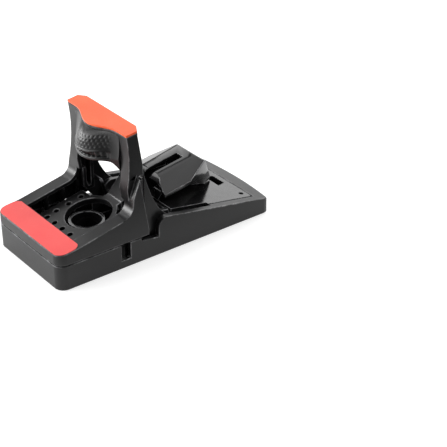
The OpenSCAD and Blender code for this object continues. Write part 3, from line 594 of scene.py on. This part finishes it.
def pedalDome():
    across, up = domeLook["faces"]
    lip, top = domeLook["lip"], domeLook["top"]
    sag, sagFrom, sagTo = domeLook["sag"]
    swell, swellFrom, swellTo = domeLook["swell"]
    bm = bmesh.new()
    bmesh.ops.create_grid(bm, x_segments=across, y_segments=up, size=1)
    reliefs = {}
    for v in bm.verts:
        p, share = v.co.x, (v.co.y + 1) / 2
        low = lip - domeLook["drop"] * p ** 4 - sag * (1 - soft(abs(p), sagFrom, sagTo))
        s = low + (top - low) * share
        q = max(0, (s - lip) / (top - lip))
        swollen = swell * (1 - soft(s - low, *domeLook["swellUp"])) * (1 - soft(abs(p), swellFrom, swellTo))
        v.co = (-domeDepth(q, p) - swollen, p * domeLook["halfWidth"], s)
        reliefs[v] = domeRelief(s - low, p)
    grown = bmesh.ops.extrude_face_region(bm, geom=bm.faces[:])["geom"]
    inner = {v for v in grown if isinstance(v, bmesh.types.BMVert)}
    for v in bm.verts:
        if v in inner:
            v.co.x += domeLook["wall"]
    for v, out in reliefs.items():
        v.co.x -= out
    bmesh.ops.recalc_face_normals(bm, faces=bm.faces)
    lean = (Matrix.Translation((pivotX, 0, pivotZ)) @ Matrix.Rotation(radians(-domeLook["lean"]), 4, "Y")
            @ Matrix.Translation((-domeLook["offset"], 0, 0)))
    bmesh.ops.transform(bm, matrix=Matrix.Scale(mm, 4) @ lean, verts=bm.verts)
    finished(bm, "pedal_dome_moulded", ["pedal_dome"], "jaw", "black_plastic", satin, 50)


pedalDome()
print("housing and dome made")

springLook = {
    "coil": 3.5,
    "wire": 1.2,
    "turns": 3,  # before the last three quarters
    "pitch": 1.75,
    "inner": 4.5,  # how far from the middle the fixed leg lies
    "leg": 6,  # length of the fixed leg
    "legTop": (-9.35, 19.5),  # x and z of the moving leg's hook
    "bend": 1.2,
    "bendSteps": 6,
    "hookEnd": 17.3,  # how far from the middle the hook ends
    "steps": 120,
    "sides": 3,
    "still": (0.4, 0.2),  # how far from the fixed and the moving leg the coil begins to wind
}


# The wire's path: the hook, its bend, the coil and the fixed leg.
def springPath():
    coil, inner, bend = springLook["coil"], springLook["inner"], springLook["bend"]
    topX, topZ = springLook["legTop"]
    legX, legZ = topX - pivotX, topZ - pivotZ
    start = atan2(legZ, legX) + acos(coil / hypot(legX, legZ))
    sweep = 2 * pi * springLook["turns"] + 1.5 * pi - start
    outer = inner + springLook["pitch"] * sweep / (2 * pi)
    path = [(topX, springLook["hookEnd"], topZ)]
    for i in range(springLook["bendSteps"] + 1):
        turn = pi / 2 * i / springLook["bendSteps"]
        path.append((topX, outer + bend * (1 - sin(turn)), topZ - bend * (1 - cos(turn))))
    steps = springLook["steps"]
    for i in range(steps + 1):
        turn = start + sweep * i / steps
        path.append((pivotX + coil * cos(turn), outer + (inner - outer) * i / steps,
                     pivotZ + coil * sin(turn)))
    path.append((pivotX + springLook["leg"], inner, pivotZ - coil))
    return path, outer


def springWire(node, side):
    path, outer = springPath()
    curve = bpy.data.curves.new("path", "CURVE")
    curve.dimensions = "3D"
    line = curve.splines.new("POLY")
    line.points.add(len(path) - 1)
    for point, (x, y, z) in zip(line.points, path):
        point.co = (x * mm, side * y * mm, z * mm, 1)
    curve.bevel_depth, curve.bevel_resolution = springLook["wire"] / 2 * mm, springLook["sides"]
    curve.use_fill_caps = True
    drawn = placed("path", curve)
    bm = bmesh.new()
    bm.from_mesh(bpy.data.meshes.new_from_object(drawn.evaluated_get(bpy.context.evaluated_depsgraph_get())))
    bpy.data.objects.remove(drawn)
    bmesh.ops.remove_doubles(bm, verts=bm.verts, dist=tolerance["wire"])
    bmesh.ops.recalc_face_normals(bm, faces=bm.faces)
    piece = finished(bm, node + "_wire", [node], None, "spring_wire", wireSteel, 50)
    atFixed, atMoving = springLook["still"]
    side * (outer - atMoving) * mm
    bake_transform(piece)


springWire("spring_near", -1)
springWire("spring_far", 1)
print("springs made")

# Places and sizes of the studio are in metres.
studioLook = {
    "floor": 2.5,  # half its width
    "sunk": 0.0001,
    "paper": (0.62, 0.62, 0.62),
    "fades": (-0.030, -0.075),  # in reflections the paper darkens between these, on the near side
    # the paper's colour in near-side reflections, a painted shade
    "faded": (0.12, 0.12, 0.12),
    "glow": (0.90, 0.10),  # its own light in reflections, before and past them
    "shine": 0.56,
    "sky": 0.22,
    "aim": (0, 0, 0.02),
    "lamps": {  # place, size and brightness, where 1 is white
        "overhead": ((0.10, 0.15, 0.85), (0.9, 0.9), 1.15),
        "behindRight": ((0.74, 0.56, 0.50), (1.1, 0.75), 1.9),
        "behind": ((-0.14, 0.76, 0.66), (0.5, 0.4), 3),
        "left": ((-0.66, 0.34, 0.30), (0.6, 0.5), 5),
        "lowLeft": ((-0.52, 0.66, 0.17), (0.7, 0.28), 9),
        "glint": ((0.42, -0.42, 0.62), (0.16, 0.16), 28),
    },
    "lens": (102.915, 36),  # focal length and sensor width
    "camera": (-0.2430, -0.36835, 0.25794),
    "cameraTurn": (59.743, 0, -37.845),
}


# White paper, which glows for the camera and less so in reflections; in reflections near the object's near
# side it is painted darker, a painted shade.
def backdrop():
    bm = bmesh.new()
    bmesh.ops.create_grid(bm, x_segments=1, y_segments=1, size=studioLook["floor"])
    floor = placed("floor", meshOf(bm, "floor"))
    floor.location = (0, 0, -studioLook["sunk"])
    f = Finish("paper")
    rays = f.node("ShaderNodeLightPath").outputs
    seen = Value(f.tree, rays["Is Camera Ray"])
    reflected = Value(f.tree, rays["Is Glossy Ray"]) + Value(f.tree, rays["Is Transmission Ray"])
    across = Value(f.tree, f.node("ShaderNodeSeparateXYZ", None, {"Vector": f.place}).outputs["Y"])
    # painted shade: the paper seen in reflections turns darker on the near side
    faded = reflected * f.band(across, *studioLook["fades"])
    glow = seen + reflected * f.band(across, *studioLook["fades"], studioLook["glow"])
    f.set(Base_Color=f.blend(faded, studioLook["paper"], studioLook["faded"]), Roughness=0.9,
          Emission_Color=f.blend(glow, (0, 0, 0), (1, 1, 1)), Emission_Strength=studioLook["shine"])
    floor.data.materials.append(f.material)


def sky():
    world = bpy.data.worlds.new("studio")
    bpy.context.scene.world = world
    world.use_nodes = True
    light = world.node_tree.nodes["Background"]
    light.inputs["Color"].default_value = (1, 1, 1, 1)
    light.inputs["Strength"].default_value = studioLook["sky"]


def softbox(name, place, size, brightness):
    lamp = bpy.data.lights.new(name, "AREA")
    lamp.shape = "RECTANGLE"
    lamp.size, lamp.size_y = size
    lamp.energy = brightness * pi * size[0] * size[1]
    made = placed(name, lamp)
    made.location = place
    towards = Vector(studioLook["aim"]) - Vector(place)
    made.rotation_euler = towards.to_track_quat("-Z", "Y").to_euler()


def camera():
    eye = bpy.data.cameras.new("camera")
    eye.lens, eye.sensor_width = studioLook["lens"]
    eye.clip_start = 0.01
    made = placed("camera", eye)
    made.location = studioLook["camera"]
    made.rotation_euler = [radians(n) for n in studioLook["cameraTurn"]]
    bpy.context.scene.camera = made


backdrop()
sky()
for name, (place, size, brightness) in studioLook["lamps"].items():
    softbox(name, place, size, brightness)
camera()
bpy.context.scene.view_settings.view_transform = "Standard"
print("studio made")
